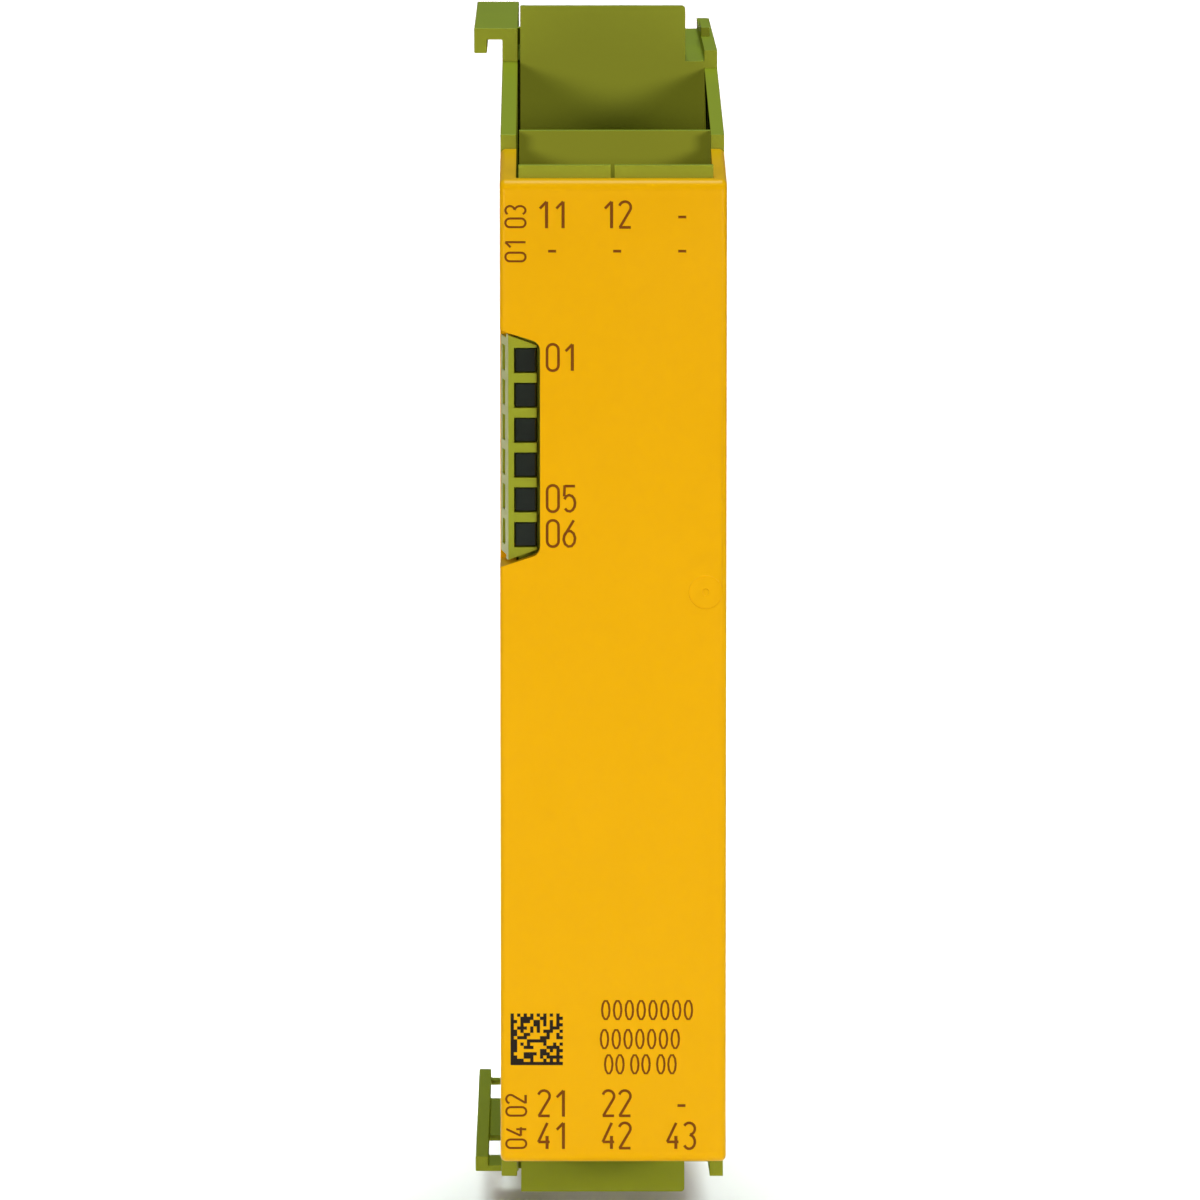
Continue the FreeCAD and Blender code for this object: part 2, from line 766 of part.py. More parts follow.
lenses = new_body("status_lenses")
lens_rear = frame_rear
lens_left = light_left + s.lens_play
half_pane = s.light_height / 2 - s.lens_play
guide = box(lens_left, board_face + s.led_size, lights[-1] - half_pane, lights[0] + half_pane)
add(lenses, ALONG, "guide", [guide], front_room, lens_rear)
panes = [box(lens_left, light_right - s.lens_play, z - half_pane, z + half_pane) for z in lights]
add(lenses, ALONG, "panes", panes, s.frame_sink + s.lens_sink, front_room)
pane_front = side_front + s.lens_play
pane_rear = side_rear - s.lens_play
side_panes = [box(pane_front, pane_rear, z - half_pane, z + half_pane) for z in lights]
add(lenses, ACROSS, "side_panes", side_panes, frame_left + s.lens_sink, lens_left)

leds = new_body("status_leds")
led_outlines = [box_at(s.board_front + s.led_size / 2, z, s.led_size, s.led_size) for z in lights]
add(leds, ACROSS, "packages", led_outlines, board_face, board_face + s.led_size)


# Plug sockets: a moulded header on each floor, with three angled pins to the board

POLES = 3


def header(number, height, room_front, room_rear, drop):
    """Moulded base of one plug socket, with ribs between its pins."""
    body = new_body(f"socket_header_{number}")
    middle = (room_front + room_rear) / 2
    floor = height(-drop)
    upper = height(-drop + s.header_base)
    rib_top = height(-drop + s.header_base + s.header_rib_height)
    under = height(-drop - s.shell_wall)
    half_depth = s.header_depth / 2
    low = tub_left + s.socket_play
    high = tub_right - s.socket_play
    add(body, ALONG, "base", [box(low, high, floor, upper)], middle - half_depth, middle + half_depth)
    boss = box_at(tub_middle, (floor + under) / 2, s.boss_width, s.shell_wall)
    add(body, ALONG, "boss", [boss], middle - s.boss_depth / 2, middle + s.boss_depth / 2)
    ribs = [
        box(tub_middle + s.socket_pitch * side / 2 - s.header_rib / 2,
            tub_middle + s.socket_pitch * side / 2 + s.header_rib / 2, upper, rib_top)
        for side in (-1, 1)
    ]
    add(body, ALONG, "ribs", ribs, middle - half_depth / 2, middle + half_depth / 2)
    hole_size = s.pin_size + s.pin_play * 2
    holes = [box_at(tub_middle + s.socket_pitch * i, middle, hole_size, hole_size) for i in range(-1, POLES - 1)]
    low, high = (under, upper) if height is top else (upper, under)
    cut(body, LEVEL, "pin_holes", holes, low, high)


def header_pins(number, height, room_front, room_rear, drop):
    """Three contact pins, each bent to the board at its own level."""
    body = new_body(f"header_pins_{number}")
    middle = (room_front + room_rear) / 2
    tip = height(-drop + s.header_base + s.pin_height)
    outlines = []
    for i in range(POLES):
        place = tub_middle + s.socket_pitch * (i - 1)
        left = place - s.pin_size / 2
        right = place + s.pin_size / 2
        tail = -drop - s.shell_wall - s.pin_tail_first - s.pin_tail_pitch * i
        outlines.append([
            (right, tip),
            (left, tip),
            (left, height(tail + s.pin_size)),
            (board_face, height(tail + s.pin_size)),
            (board_face, height(tail)),
            (right, height(tail)),
        ])
    add(body, ALONG, "pins", outlines, middle - s.pin_size / 2, middle + s.pin_size / 2)


for number, socket in enumerate(SOCKETS, start=1):
    header(number, *socket)
for number, socket in enumerate(SOCKETS, start=1):
    header_pins(number, *socket)


# Link connectors at the rear, on a small board of their own

link_board = new_body("link_board")
link_rear = link_board_front + s.link_board_wall
plate = box(board_left, tub_right - s.socket_play, link_middle - s.link_board_height / 2,
            link_middle + s.link_board_height / 2)
add(link_board, ALONG, "plate", [plate], link_board_front, link_rear)


LINK_ROWS = 5


def link_header(node, side):
    """Block of one link connector, open to the rear."""
    body = new_body(node)
    middle = tub_middle + s.link_spacing * side / 2
    outer = box_at(middle, link_middle, s.link_width, s.link_height)
    inner = box_at(middle, link_middle, s.link_width - s.link_wall * 2, s.link_height - s.link_wall * 2)
    rear = s.module_depth - s.link_sink
    add(body, ALONG, "block", [outer], link_rear, rear)
    cut(body, ALONG, "socket", [inner], rear - s.link_socket_depth, rear)
    holes = [box_at(a, b, s.link_pin + s.pin_play * 2, s.link_pin + s.pin_play * 2) for a, b in link_pin_places(side)]
    cut(body, ALONG, "pin_holes", holes, link_rear, rear - s.link_socket_depth)


def link_pin_places(side):
    """Middle of each pin of one link connector."""
    middle = tub_middle + s.link_spacing * side / 2
    return [
        (middle + s.link_pin_pitch * column / 2, link_middle + s.link_pin_pitch * (row - LINK_ROWS // 2))
        for column in (-1, 1)
        for row in range(LINK_ROWS)
    ]


link_header("link_header_left", -1)
link_header("link_header_right", 1)
link_pins = new_body("link_pins")
pin_outlines = [
    box_at(a, b, s.link_pin, s.link_pin)
    for side in (-1, 1)
    for a, b in link_pin_places(side)
]
link_tip = s.module_depth - s.link_sink - s.link_wall
add(link_pins, ALONG, "pins", pin_outlines, link_rear, link_tip)


# Relays and the larger parts on the main board

def relay(node, side):
    """Sealed relay with guided contacts, lying on the main board."""
    body = new_body(node)
    middle = s.relay_offset * side
    low = middle - s.relay_width / 2
    high = middle + s.relay_width / 2
    front = s.relay_place
    rear = s.relay_place + s.relay_length
    step = s.relay_step
    add(body, ACROSS, "base", [box(front, rear, low, high)], board_face, board_face + s.relay_base)
    case = box(front + step, rear - step, low + step, high - step)
    add(body, ACROSS, "case", [case], board_face + s.relay_base, board_face + s.relay_height)
    far = board_face + s.relay_height
    round_edges(body, "case_round", s.relay_round, lambda edge: lies_at(edge, "X", far))


relay("relay_1", 1)
relay("relay_2", -1)


def chip(node, side):
    """Controller circuit with its corner mark."""
    body = new_body(node)
    middle = s.chip_offset * side
    place = s.chip_place + s.chip_size / 2
    add(body, ACROSS, "case", [box_at(place, middle, s.chip_size, s.chip_size)], board_face, board_face + s.chip_height)
    mark = (s.chip_place + s.chip_mark * 2, middle + s.chip_size / 2 - s.chip_mark * 2)
    far = board_face + s.chip_height
    cut(body, ACROSS, "mark", [(mark, s.chip_mark)], far - s.chip_mark_depth, far)


chip("controller_1", 1)
chip("controller_2", -1)

COUPLERS = 4
couplers = new_body("optocouplers")
coupler_outlines = [
    box_at(s.coupler_place, s.coupler_pitch * (i - (COUPLERS - 1) / 2), s.coupler_length, s.coupler_width)
    for i in range(COUPLERS)
]
add(couplers, ACROSS, "cases", coupler_outlines, board_face, board_face + s.coupler_height)


def capacitor(node, side):
    """Round capacitor that lies on the board, its axis front to rear."""
    body = new_body(node)
    centre = (board_face + s.capacitor_radius + s.pin_play, s.capacitor_offset * side)
    rear = s.capacitor_place + s.capacitor_length
    add(body, ALONG, "can", [(centre, s.capacitor_radius)], s.capacitor_place, rear)


capacitor("capacitor_1", 1)
capacitor("capacitor_2", -1)

inductor = new_body("converter_inductor")
fuse_middle = link_board_front - s.fuse_gap - s.fuse_length / 2
inductor_middle = fuse_middle - s.fuse_length / 2 - s.inductor_gap - s.inductor_size / 2
coil_place = box_at(inductor_middle, s.capacitor_offset, s.inductor_size, s.inductor_size)
add(inductor, ACROSS, "core", [coil_place], board_face, board_face + s.inductor_height)
core_mark = ((inductor_middle, s.capacitor_offset), s.inductor_core)
core_far = board_face + s.inductor_height
cut(inductor, ACROSS, "winding_ring", [core_mark], core_far - s.pin_size, core_far)

suppressors = new_body("surge_suppressors")
discs = [
    ((board_face + s.suppressor_radius + s.pin_play, -s.capacitor_offset + s.suppressor_pitch * side / 2),
     s.suppressor_radius)
    for side in (-1, 1)
]
add(suppressors, ALONG, "discs", discs, s.suppressor_place, s.suppressor_place + s.suppressor_wall)

fuse = new_body("supply_fuse")
fuse_place = box_at(fuse_middle, s.capacitor_offset, s.fuse_length, s.fuse_width)
add(fuse, ACROSS, "case", [fuse_place], board_face, board_face + s.fuse_width)


# Rail latch and its spring

latch = new_body("rail_latch")
latch_front = claw_front
latch_rear = claw_front + s.latch_wall
latch_end = latch_top - s.latch_length
latch_side = [
    (latch_front, latch_top),
    (latch_front + s.claw_lead / 2, latch_top),
    (latch_rear, latch_top - s.latch_wall + s.claw_lead / 2),
    (latch_rear, latch_end),
    (latch_front, latch_end),
]
add(latch, ACROSS, "slide", [latch_side], -s.latch_width / 2, s.latch_width / 2)
window_top = latch_top - s.latch_window_top
window_bottom = post_top - s.post_height - s.latch_play
window = box(-s.latch_window_width / 2, s.latch_window_width / 2, window_bottom, window_top)
cut(latch, ALONG, "spring_window", [window], latch_front, latch_rear)
eye_bottom = latch_end + s.latch_eye_wall
eye = box(-s.latch_eye_width / 2, s.latch_eye_width / 2, eye_bottom, eye_bottom + s.latch_eye_height)
cut(latch, ALONG, "eye", [eye], latch_front, latch_rear)

spring = new_body("latch_spring")
wire_sketch = new_sketch(spring, ALONG, "wire", -latch_middle)
coil_height = s.spring_length - s.spring_wire * 2 - s.latch_play
coil_start = post_top + s.spring_wire + s.latch_play / 2
draw_corners(wire_sketch, [
    (s.spring_radius - s.spring_wire, coil_start - s.spring_wire / 2),
    (s.spring_radius, coil_start - s.spring_wire),
    (s.spring_radius + s.spring_wire, coil_start - s.spring_wire / 2),
    (s.spring_radius + s.spring_wire, coil_start + s.spring_wire / 2),
    (s.spring_radius, coil_start + s.spring_wire),
    (s.spring_radius - s.spring_wire, coil_start + s.spring_wire / 2),
])
coil = spring.newObject("PartDesign::AdditiveHelix", "latch_spring_coil")
coil.Profile = wire_sketch
coil.ReferenceAxis = (wire_sketch, ["V_Axis"])
coil.Mode = "height-turns-angle"
coil.setExpression("Height", coil_height.text)
coil.setExpression("Turns", s.spring_turns.text)


# Checks, then one file for each piece

doc.recompute()
for item in doc.Objects:
    if "Invalid" in item.State or "Error" in item.State:
        raise RuntimeError(f"{item.Name} has failed: {item.State}")

os.makedirs("parts", exist_ok=True)
for body in parts:
    shape = body.Shape
    if shape.isNull() or not shape.isValid():
        raise RuntimeError(f"{body.Label} has no valid shape")
    shape.exportStep(f"parts/{body.Label}.step")
    print(body.Label, "solids", len(shape.Solids), "volume", round(shape.Volume, 1))
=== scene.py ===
"""Looks of a slim rail-mounted safety relay module: yellow front cap, olive green housing."""

from math import cos, pi, radians, sin

import bpy
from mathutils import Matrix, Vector


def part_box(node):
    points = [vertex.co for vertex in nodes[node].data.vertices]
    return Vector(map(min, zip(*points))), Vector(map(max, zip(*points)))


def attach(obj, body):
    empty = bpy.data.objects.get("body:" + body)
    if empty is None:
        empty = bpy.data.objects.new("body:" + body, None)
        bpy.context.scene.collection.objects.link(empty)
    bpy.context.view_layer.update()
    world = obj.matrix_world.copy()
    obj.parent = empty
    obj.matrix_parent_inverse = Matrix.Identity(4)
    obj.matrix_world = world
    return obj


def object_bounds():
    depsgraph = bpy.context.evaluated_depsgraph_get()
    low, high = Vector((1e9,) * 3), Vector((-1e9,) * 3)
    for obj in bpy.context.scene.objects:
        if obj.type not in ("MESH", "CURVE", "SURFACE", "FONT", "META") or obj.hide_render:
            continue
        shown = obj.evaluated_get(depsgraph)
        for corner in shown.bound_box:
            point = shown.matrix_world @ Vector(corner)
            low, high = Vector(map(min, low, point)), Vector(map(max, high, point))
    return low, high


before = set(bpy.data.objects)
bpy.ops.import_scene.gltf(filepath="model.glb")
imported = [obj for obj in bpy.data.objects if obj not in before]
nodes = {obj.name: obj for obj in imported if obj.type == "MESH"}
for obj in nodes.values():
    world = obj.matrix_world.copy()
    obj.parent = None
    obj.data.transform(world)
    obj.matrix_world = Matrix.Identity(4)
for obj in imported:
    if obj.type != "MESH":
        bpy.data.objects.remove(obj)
cad_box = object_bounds()


# Main housing and side cover
# Both are injection-moulded in the same olive green polycarbonate blend with a finely eroded
# surface. The cover closes the tub's open left side and clips to it.

MM = 0.001
HOUSING_COLOUR = (0.325, 0.34, 0.012)
HOUSING_ROUGHNESS = 0.42
HOUSING_SHINE = 0.2
HOUSING_EDGE = 0.16 * MM
SHARP_ANGLE = radians(35)
FLAT_ANGLE = radians(0.4)
WELD_REACH = 0.0005 * MM
GLOSS_RANGE = 0.05
COAT_ROUGHNESS = 0.12
PLASTIC_IOR = 1.5


def shade(colour, factor):
    """A colour made darker or lighter."""
    return tuple(min(1.0, part * factor) for part in colour)


def add_object(name, data):
    """New object in the scene."""
    made = bpy.data.objects.new(name, data)
    bpy.context.scene.collection.objects.link(made)
    return made


def link_nodes(material, pairs):
    """Joins sockets, each pair written as (node, output, node, input)."""
    for source, output, target, entry in pairs:
        material.node_tree.links.new(source.outputs[output], target.inputs[entry])


def plastic(name, colour, roughness, spread=0.05, patch=70.0, grain=5200.0, grain_height=0.004,
            coat=0.0, shine=0.5):
    """Moulded plastic: faint clouds in its colour and gloss, and the fine grain of the mould."""
    material = bpy.data.materials.new(name)
    material.use_nodes = True
    tree = material.node_tree
    shader = tree.nodes["Principled BSDF"]
    place = tree.nodes.new("ShaderNodeTexCoord")
    clouds = tree.nodes.new("ShaderNodeTexNoise")
    clouds.inputs["Scale"].default_value = patch
    clouds.inputs["Detail"].default_value = 3.0
    tint = tree.nodes.new("ShaderNodeMix")
    tint.data_type = "RGBA"
    tint.inputs[6].default_value = (*shade(colour, 1 - spread), 1)
    tint.inputs[7].default_value = (*shade(colour, 1 + spread), 1)
    gloss = tree.nodes.new("ShaderNodeMapRange")
    gloss.inputs["To Min"].default_value = roughness - GLOSS_RANGE
    gloss.inputs["To Max"].default_value = roughness + GLOSS_RANGE
    fine = tree.nodes.new("ShaderNodeTexNoise")
    fine.inputs["Scale"].default_value = grain
    fine.inputs["Detail"].default_value = 2.0
    bump = tree.nodes.new("ShaderNodeBump")
    bump.inputs["Strength"].default_value = 0.5
    bump.inputs["Distance"].default_value = grain_height * MM
    shader.inputs["IOR"].default_value = PLASTIC_IOR
    shader.inputs["Specular IOR Level"].default_value = shine
    shader.inputs["Coat Weight"].default_value = coat
    shader.inputs["Coat Roughness"].default_value = COAT_ROUGHNESS
    link_nodes(material, [
        (place, "Object", clouds, "Vector"),
        (place, "Object", fine, "Vector"),
        (clouds, "Fac", tint, 0),
        (tint, 2, shader, "Base Color"),
        (clouds, "Fac", gloss, "Value"),
        (gloss, "Result", shader, "Roughness"),
        (fine, "Fac", bump, "Height"),
        (bump, "Normal", shader, "Normal"),
    ])
    return material


def finish_node(name, material):
    """Gives a solid of the frame its material."""
    node = nodes[name]
    node.data.materials.clear()
    node.data.materials.append(material)
    return node


def new_tree(name, inputs):
    """A geometry node tree with named inputs, its entry node and its last node."""
    tree = bpy.data.node_groups.new(name, "GeometryNodeTree")
    tree.interface.new_socket(name="Geometry", in_out="INPUT", socket_type="NodeSocketGeometry")
    for label, kind in inputs:
        tree.interface.new_socket(name=label, in_out="INPUT", socket_type=f"NodeSocket{kind}")
    tree.interface.new_socket(name="Geometry", in_out="OUTPUT", socket_type="NodeSocketGeometry")
    return tree, tree.nodes.new("NodeGroupInput"), tree.nodes.new("NodeGroupOutput")


def shading_tree():
    """Geometry nodes that shade curved faces smoothly and keep sharp edges sharp."""
    tree, entry, leave = new_tree("sharp_edges", [("Angle", "Float")])
    faces = tree.nodes.new("GeometryNodeSetShadeSmooth")
    faces.domain = "FACE"
    edges = tree.nodes.new("GeometryNodeSetShadeSmooth")
    edges.domain = "EDGE"
    edges.inputs["Shade Smooth"].default_value = False
    bend = tree.nodes.new("GeometryNodeInputMeshEdgeAngle")
    sharp = tree.nodes.new("FunctionNodeCompare")
    sharp.operation = "GREATER_THAN"
    tree.links.new(entry.outputs["Geometry"], faces.inputs["Geometry"])
    tree.links.new(faces.outputs["Geometry"], edges.inputs["Geometry"])
    tree.links.new(bend.outputs["Unsigned Angle"], sharp.inputs["A"])
    tree.links.new(entry.outputs["Angle"], sharp.inputs["B"])
    tree.links.new(sharp.outputs["Result"], edges.inputs["Selection"])
    tree.links.new(edges.outputs["Geometry"], leave.inputs["Geometry"])
    return tree


def input_id(tree, name):
    """Identifier of a node tree's named input."""
    return next(item.identifier for item in tree.interface.items_tree
                if item.item_type == "SOCKET" and item.in_out == "INPUT" and item.name == name)


sharp_edges = shading_tree()


def soften(node, width):
    """Small rounds along the edges, as every moulded or stamped part has them."""
    weld = node.modifiers.new("weld", "WELD")
    weld.merge_threshold = WELD_REACH
    flat = node.modifiers.new("flat_faces", "DECIMATE")
    flat.decimate_type = "DISSOLVE"
    flat.angle_limit = FLAT_ANGLE
    shading = node.modifiers.new("shading", "NODES")
    shading.node_group = sharp_edges
    shading[input_id(sharp_edges, "Angle")] = SHARP_ANGLE
    bevel = node.modifiers.new("edge_round", "BEVEL")
    bevel.width = width
    bevel.segments = 2
    bevel.limit_method = "ANGLE"
    bevel.angle_limit = SHARP_ANGLE
    bevel.harden_normals = True
    bevel.use_clamp_overlap = True


olive_plastic = plastic("olive_plastic", HOUSING_COLOUR, HOUSING_ROUGHNESS, spread=0.06,
                        grain_height=0.006, shine=HOUSING_SHINE)
for name in ("main_housing", "side_cover"):
    soften(finish_node(name, olive_plastic), HOUSING_EDGE)


# Front cap
# A smooth yellow moulding that covers the whole front and clips over the tub and the side cover.
# It is polished more finely than the housing.

CAP_COLOUR = (0.93, 0.445, 0.0006)
CAP_ROUGHNESS = 0.3
CAP_SHINE = 0.1
CAP_EDGE = 0.08 * MM

yellow_plastic = plastic("yellow_plastic", CAP_COLOUR, CAP_ROUGHNESS, spread=0.015,
                         grain_height=0.0015, shine=CAP_SHINE)
soften(finish_node("front_cap", yellow_plastic), CAP_EDGE)


# Marks on the front cap
# Plain numbers and dashes beside the terminals and the lights, and a square of cells, all printed
# in dark ink. Each stroke is a flattened line that stands a hundredth of a millimetre proud.
# Places are in millimetres, from the cap's middle and down from its top.

INK_COLOUR = (0.23, 0.058, 0.002)
INK_SHINE = 0.1
INK_ROUGHNESS = 0.55
CELL_COLOUR = (0.02, 0.012, 0.008)
INK_HEIGHT = 0.012 * MM
GLYPH_WIDTH = 0.43
GLYPH_PITCH = 0.62
LIST_PITCH = 0.61
CLOSE_PITCH = 0.58
ARC_STEPS = 10

COLUMNS = (-4.74, 0.26, 5.26)
UPPER_ROWS = (4.12, 6.75)
LOWER_ROWS = (73.22, 75.76)
TERMINAL_HEIGHT = 2.05
SIDE_COLUMN = -7.53
SIDE_HEIGHT = 1.55
SIDE_DROP = 0.13
LIGHT_COLUMN = -4.03
LIGHT_ROWS = (15.12, 26.03, 28.74)
LIST_ROWS = (65.89, 68.16, 70.14)
LIST_HEIGHT = 1.5
LIST_MIDDLES = (2.62, 2.06, 2.1)
PAIR_PITCH = 2.02
STROKE = 0.24
FINE_STROKE = 0.19
CODE_LEFT = -7.96
CODE_DROP = 66.15
CODE_SIDE = 4.05
CODE_CELLS = 16
CODE_SEED = 7

cap_low, cap_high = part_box("front_cap")


def arc(centre_x, centre_y, radius_x, radius_y, start, end):
    """Points along part of an ellipse, angles in degrees."""
    turns = [radians(start + (end - start) * i / ARC_STEPS) for i in range(ARC_STEPS + 1)]
    return [(centre_x + radius_x * cos(t), centre_y + radius_y * sin(t)) for t in turns]


half = GLYPH_WIDTH / 2
GLYPHS = {
    "0": [arc(half, 1 - half, half, half, 0, 180) + arc(half, half, half, half, 180, 360)
          + [(GLYPH_WIDTH, 1 - half)]],
    "o": [arc(half, 0.5, 0.9 * half, 0.5, 0, 360)],
    "1": [[(0.08, 0.74), (0.33, 1)], [(0.33, 1), (0.33, 0)]],
    "2": [arc(half, 1 - half, half, half, 165, -30) + [(0.02, 0.03)],
          [(0, 0.03), (GLYPH_WIDTH, 0.03)]],
    "3": [arc(half, 0.77, half, 0.23, 150, -80), arc(half, 0.27, half, 0.27, 85, -150)],
    "4": [[(0.34, 1), (0, 0.27)], [(0, 0.27), (GLYPH_WIDTH, 0.27)], [(0.33, 0.5), (0.33, 0)]],
    "5": [[(GLYPH_WIDTH, 0.97), (0.04, 0.97)], [(0.04, 1), (0.02, 0.58)],
          arc(half, 0.32, half, 0.31, 150, -140)],
    "6": [[(0.38, 1), (0.03, 0.42)], arc(half, 0.3, half, 0.3, 150, 510)],
    "-": [[(0.08, 0.42), (0.38, 0.42)]],
}


def write_marks(curve, text, x, drop, height, turned=False, pitch=GLYPH_PITCH):
    """Adds the strokes of a mark to a curve, centred on its place on the cap's face."""
    length = pitch * (len(text) - 1) + GLYPH_WIDTH
    for number, glyph in enumerate(text):
        for stroke in GLYPHS[glyph]:
            spline = curve.splines.new("POLY")
            spline.points.add(len(stroke) - 1)
            for point, (across, up) in zip(spline.points, stroke):
                u = (across + pitch * number - length / 2) * height
                v = (up - 0.5) * height
                if turned:
                    u, v = -v, u
                point.co = ((x + u) * MM, cap_low.y, cap_high.z - (drop - v) * MM, 1)


def close_tree(tree, source, leave, material):
    """Ends a tree: real geometry instead of instances, in its material."""
    real = tree.nodes.new("GeometryNodeRealizeInstances")
    paint = tree.nodes.new("GeometryNodeSetMaterial")
    paint.inputs["Material"].default_value = material
    tree.links.new(source, real.inputs["Geometry"])
    tree.links.new(real.outputs["Geometry"], paint.inputs["Geometry"])
    tree.links.new(paint.outputs["Geometry"], leave.inputs["Geometry"])


def node_mesh(name, data, tree, values):
    """Plain mesh object that a node tree makes from a curve or mesh."""
    source = add_object(name + "_source", data)
    modifier = source.modifiers.new("made", "NODES")
    modifier.node_group = tree
    for label, value in values.items():
        modifier[input_id(tree, label)] = value
    shown = source.evaluated_get(bpy.context.evaluated_depsgraph_get())
    mesh = bpy.data.meshes.new_from_object(shown)
    source.modifiers.clear()
    bpy.data.objects.remove(source)
    return add_object(name, mesh)


def ink_tree(material):
    """Flattened round line along every stroke."""
    tree, entry, leave = new_tree("ink_strokes", [
        ("Width", "Float"), ("Flatness", "Float"), ("Face", "Float")])
    line = tree.nodes.new("GeometryNodeCurvePrimitiveCircle")
    line.inputs["Resolution"].default_value = 6
    halve = tree.nodes.new("ShaderNodeMath")
    halve.operation = "MULTIPLY"
    halve.inputs[1].default_value = 0.5
    solid = tree.nodes.new("GeometryNodeCurveToMesh")
    solid.inputs["Fill Caps"].default_value = True
    spread = tree.nodes.new("GeometryNodeInputPosition")
    parts = tree.nodes.new("ShaderNodeSeparateXYZ")
    depth = tree.nodes.new("ShaderNodeMath")
    depth.operation = "SUBTRACT"
    flat = tree.nodes.new("ShaderNodeMath")
    flat.operation = "MULTIPLY"
    back = tree.nodes.new("ShaderNodeMath")
    back.operation = "ADD"
    whole = tree.nodes.new("ShaderNodeCombineXYZ")
    place = tree.nodes.new("GeometryNodeSetPosition")
    join = tree.links.new
    join(entry.outputs["Width"], halve.inputs[0])
    join(halve.outputs[0], line.inputs["Radius"])
    join(entry.outputs["Geometry"], solid.inputs["Curve"])
    join(line.outputs["Curve"], solid.inputs["Profile Curve"])
    join(solid.outputs["Mesh"], place.inputs["Geometry"])
    join(spread.outputs[0], parts.inputs[0])
    join(parts.outputs["Y"], depth.inputs[0])
    join(entry.outputs["Face"], depth.inputs[1])
    join(depth.outputs[0], flat.inputs[0])
    join(entry.outputs["Flatness"], flat.inputs[1])
    join(flat.outputs[0], back.inputs[0])
    join(entry.outputs["Face"], back.inputs[1])
    join(parts.outputs["X"], whole.inputs["X"])
    join(back.outputs[0], whole.inputs["Y"])
    join(parts.outputs["Z"], whole.inputs["Z"])
    join(whole.outputs[0], place.inputs["Position"])
    close_tree(tree, place.outputs["Geometry"], leave, material)
    return tree


brown_ink = plastic("brown_ink", INK_COLOUR, INK_ROUGHNESS, spread=0.12, patch=400,
                    grain_height=0.002, shine=INK_SHINE)
ink_strokes = ink_tree(brown_ink)


def print_marks(name, stroke, marks):
    """One printed piece from marks given as (text, x, drop, height, turned), or with a pitch."""
    curve = bpy.data.curves.new(name, "CURVE")
    curve.dimensions = "3D"
    for mark in marks:
        write_marks(curve, *mark)
    width = stroke * MM
    piece = node_mesh(name, curve, ink_strokes, {
        "Width": width, "Flatness": INK_HEIGHT / width * 2, "Face": cap_low.y})
    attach(piece, "module")


terminal_marks = []
for texts, drop in (
    (("11", "12", "-"), UPPER_ROWS[0]),
    (("-", "-", "-"), UPPER_ROWS[1]),
    (("21", "22", "-"), LOWER_ROWS[0]),
    (("41", "42", "43"), LOWER_ROWS[1]),
):
    terminal_marks += [(text, x, drop, TERMINAL_HEIGHT, False) for text, x in zip(texts, COLUMNS)]
terminal_marks += [
    (text, LIGHT_COLUMN, drop, TERMINAL_HEIGHT, False)
    for text, drop in zip(("01", "05", "06"), LIGHT_ROWS)
]
print_marks("terminal_marks", STROKE, terminal_marks)
small_marks = [
    (text, SIDE_COLUMN, drop + SIDE_DROP, SIDE_HEIGHT, True)
    for text, drop in zip(("03", "01", "02", "04"), UPPER_ROWS + LOWER_ROWS)
]
small_marks += [
    ("oooooooo", LIST_MIDDLES[0], LIST_ROWS[0], LIST_HEIGHT, False, LIST_PITCH),
    ("ooooooo", LIST_MIDDLES[1], LIST_ROWS[1], LIST_HEIGHT, False, LIST_PITCH),
]
small_marks += [
    ("oo", LIST_MIDDLES[2] + shift, LIST_ROWS[2], LIST_HEIGHT, False, CLOSE_PITCH)
    for shift in (-PAIR_PITCH, 0, PAIR_PITCH)
]
print_marks("small_marks", FINE_STROKE, small_marks)


